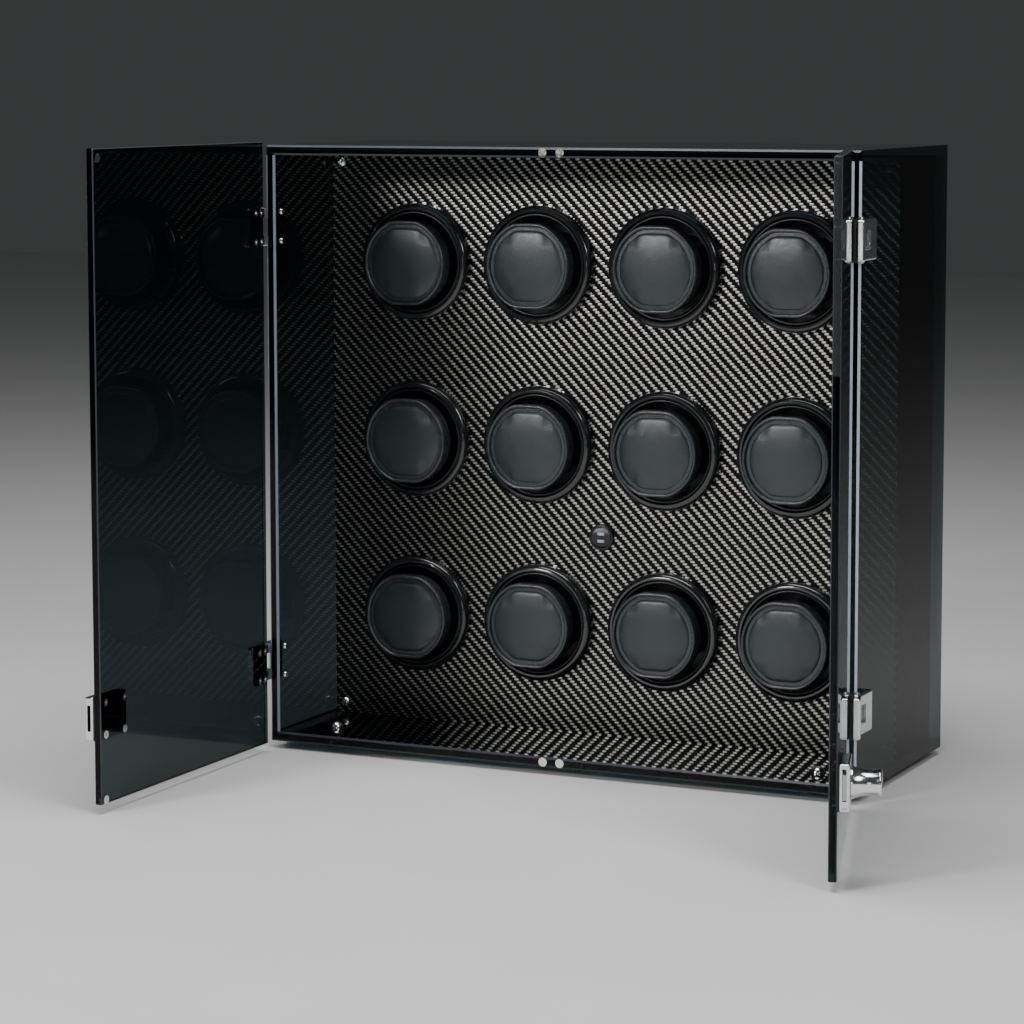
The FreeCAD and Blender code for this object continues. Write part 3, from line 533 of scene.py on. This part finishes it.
def inflate(piece, voxel, furthest):
    """Puff a closed piece up by cloth pressure. No point moves further than stated."""
    remesh = piece.modifiers.new("remesh", "REMESH")
    remesh.mode = "VOXEL"
    remesh.voxel_size = voxel
    settle(piece)
    before = [v.co.copy() for v in piece.data.vertices]
    cloth = piece.modifiers.new("cloth", "CLOTH")
    cloth.settings.use_pressure = True
    cloth.settings.uniform_pressure_force = CLOTH_PRESSURE
    cloth.settings.effector_weights.gravity = 0.0
    cloth.settings.quality = 6
    cloth.point_cache.frame_start = 1
    cloth.point_cache.frame_end = CLOTH_FRAMES
    for number in range(1, CLOTH_FRAMES + 1):
        bpy.context.scene.frame_set(number)
    settle(piece)
    bpy.context.scene.frame_set(1)
    for vertex, old in zip(piece.data.vertices, before):
        move = vertex.co - old
        if move.length > furthest:
            vertex.co = old + move * (furthest / move.length)
    smooth = piece.modifiers.new("smooth", "SMOOTH")
    smooth.iterations = 3
    finer = piece.modifiers.new("finer", "SUBSURF")
    finer.levels = 1
    settle(piece)


def piping(name, radius, flat, y, material):
    """A corded edge that follows the face's outline."""
    mesh = bmesh.new()
    points = outline(radius, flat)
    rings = []
    for i, (x, z) in enumerate(points):
        before, after = points[i - 1], points[(i + 1) % OUTLINE_POINTS]
        out = Vector((after[1] - before[1], 0, before[0] - after[0])).normalized()
        ring = []
        for k in range(PIPING_SIDES):
            turn = 2 * math.pi * k / PIPING_SIDES
            place = (Vector((x, y, z)) + out * PIPING_R * math.cos(turn)
                     + Vector((0, PIPING_R * math.sin(turn), 0)))
            ring.append(mesh.verts.new(place))
        rings.append(ring)
    for i in range(OUTLINE_POINTS):
        near, far = rings[i], rings[(i + 1) % OUTLINE_POINTS]
        for k in range(PIPING_SIDES):
            m = (k + 1) % PIPING_SIDES
            mesh.faces.new((near[k], near[m], far[m], far[k]))
    piece = from_bmesh(name, mesh)
    piece.data.materials.append(material)
    return piece


def pillow(name, back, material):
    """The part of the cushion that fills the cup: a rounded block, which puffs up later."""
    mesh = bmesh.new()
    bmesh.ops.create_cube(mesh, size=1.0)
    for vertex in mesh.verts:
        vertex.co = Vector((vertex.co.x * 2 * PILLOW_HALF_X,
                            PILLOW_FRONT + (vertex.co.y + 0.5) * (back - PILLOW_FRONT),
                            vertex.co.z * 2 * PILLOW_HALF_Z))
    bmesh.ops.bevel(mesh, geom=mesh.edges[:], offset=PILLOW_ROUND, segments=4, affect="EDGES")
    piece = from_bmesh(name, mesh)
    piece.data.materials.append(material)
    return piece


def cushion_template(radius, flat, length):
    """One cushion with its front at y = 0: face, corded edge, side band and pillow."""
    hide = leather("cushion_leather", (0.017, 0.025, 0.027), (0.031, 0.042, 0.045), 0.28, 0.35)
    # The edging is painted a little lighter than the face leather, a painted highlight on the cord and the
    # side band; its smoother, more lacquered surface is its own
    edge = leather("cushion_edging_painted_highlight", (0.020, 0.026, 0.029), (0.034, 0.043, 0.047), 0.20, 0.5)
    inset = 2 * PIPING_R + GROOVE
    # The crowned face, as shares of its own radius and depths in mm
    crown = [(0.3, 0.3), (0.6, 0.9), (0.85, 1.7), (0.96, 2.4),
             (1.0, 3.5), (1.0, 6.0), (0.9, 8.0), (0.5, 8.0)]
    face = drum("face", [((radius - inset) * share, (flat - inset) * share, y * MM)
                         for share, y in crown], hide)
    inflate(face, FACE_VOXEL, FACE_PUFF)
    # The side band, as how far it is drawn in and depths, both in mm
    drawn_in = [(2.6, 3.0), (0.6, 3.2), (0.0, 4.4), (0.5, 7.0),
                (0.4, 9.0), (0.0, 11.6), (0.8, 13.2), (3.0, 13.9)]
    side = radius - BAND_INSET
    side_flat = flat - BAND_INSET
    band = drum("band", [(side - inward * MM, side_flat - inward * MM, y * MM)
                         for inward, y in drawn_in], edge)
    cord_inset = PIPING_R + 0.1 * MM
    cord = piping("cord", radius - cord_inset, flat - cord_inset, PIPING_DEPTH, edge)
    back_seam = piping("back_seam", side - 1.6 * MM, side_flat - 1.6 * MM, SEAM_DEPTH, edge)
    filling = pillow("pillow", length - PILLOW_END_GAP, hide)
    inflate(filling, PILLOW_VOXEL, PILLOW_PUFF)
    return join("cushion", [face, band, cord, back_seam, filling])


def add_cushions():
    low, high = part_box("watch_cushion_" + PLACES[0])
    flat = (high.z - low.z) / 2 + FLAT_FULLNESS
    template = cushion_template((high.x - low.x) / 2, flat, high.y - low.y)
    for place in PLACES:
        node = "watch_cushion_" + place
        low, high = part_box(node)
        data = template.copy()
        data.transform(Matrix.Translation(((low.x + high.x) / 2, low.y, (low.z + high.z) / 2)))
        piece = make_object("cushion_" + place, data)
        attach(piece, "cushion_" + place)
        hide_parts(node)


# Switch marks -----------------------------------------------------------------

def add_switch_marks():
    """Two pale bars printed on the rocker, one above the other, following its crown."""
    low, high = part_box("switch_rocker")
    centre_z = (low.z + high.z) / 2
    mesh = bmesh.new()
    for side in (-1, 1):
        rows = []
        for step in range(BAR_STEPS + 1):
            z = side * BAR_OFFSET + (step / BAR_STEPS - 0.5) * BAR_HEIGHT
            y = low.y + ROCKER_CROWN_R - math.sqrt(ROCKER_CROWN_R ** 2 - z ** 2) - BAR_LIFT
            half = BAR_HALF_WIDTH - (BAR_CORNER if step in (0, BAR_STEPS) else 0.0)
            rows.append([mesh.verts.new((x * half, y, centre_z + z)) for x in (-1, 0, 1)])
        for near, far in zip(rows, rows[1:]):
            for k in range(2):
                mesh.faces.new((near[k], near[k + 1], far[k + 1], far[k]))
    piece = from_bmesh("rocker_marks", mesh)
    thick = piece.modifiers.new("thick", "SOLIDIFY")
    thick.thickness = BAR_THICK
    settle(piece)
    piece.data.materials.append(printed_white())
    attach(piece, "switch_rocker")


# Stage ------------------------------------------------------------------------

def add_floor():
    mesh = bmesh.new()
    bmesh.ops.create_grid(mesh, x_segments=8, y_segments=8, size=FLOOR_HALF)
    floor = from_bmesh("floor", mesh)
    floor.data.materials.append(pale_floor())


def add_area(name, place, target, size, power):
    """A rectangular soft light that looks at its target. Size is width and height, power in watts."""
    data = bpy.data.lights.new(name, "AREA")
    data.shape = "RECTANGLE"
    data.size, data.size_y = size
    data.energy = power
    light = bpy.data.objects.new(name, data)
    light.location = place
    light.rotation_euler = (Vector(target) - Vector(place)).to_track_quat("-Z", "Y").to_euler()
    bpy.context.scene.collection.objects.link(light)


def add_lights():
    """A high key from the left, a low front light for the chrome, a side light and a broad top light."""
    add_area("key", (-0.95, -2.3, 1.15), (0.15, 0, 0.20), (0.5, 0.5), 26)
    add_area("front", (0.90, -2.45, 0.32), (0.28, -0.1, 0.42), (0.35, 0.35), 1.0)
    add_area("side", (1.5, -1.1, 1.3), (0.1, 0, 0.25), (0.5, 0.9), 14)
    add_area("top", (0.0, -0.5, 2.2), (0, -0.35, 0), (1.6, 1.2), 46)
    world = bpy.data.worlds.new("studio")
    world.use_nodes = True
    background = world.node_tree.nodes["Background"]
    background.inputs["Color"].default_value = (0.86, 0.88, 0.90, 1)
    background.inputs["Strength"].default_value = 0.05
    bpy.context.scene.world = world


def add_camera():
    """Yaw turns the view to the left, pitch tips it down and roll turns it in its own plane."""
    data = bpy.data.cameras.new("camera")
    data.lens = CAMERA_LENS
    data.sensor_width = 36.0
    data.shift_y = CAMERA_SHIFT_Y
    data.clip_start, data.clip_end = 0.05, 60.0
    camera = bpy.data.objects.new("camera", data)
    turn = (Matrix.Rotation(math.radians(CAMERA_YAW), 4, "Z")
            @ Matrix.Rotation(math.radians(90 - CAMERA_PITCH), 4, "X")
            @ Matrix.Rotation(math.radians(-CAMERA_ROLL), 4, "Z"))
    camera.matrix_world = Matrix.Translation(CAMERA_PLACE) @ turn
    bpy.context.scene.collection.objects.link(camera)
    bpy.context.scene.camera = camera


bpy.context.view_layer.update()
dress_nodes()
add_cushions()
add_switch_marks()
add_floor()
add_lights()
add_camera()
bpy.context.view_layer.update()
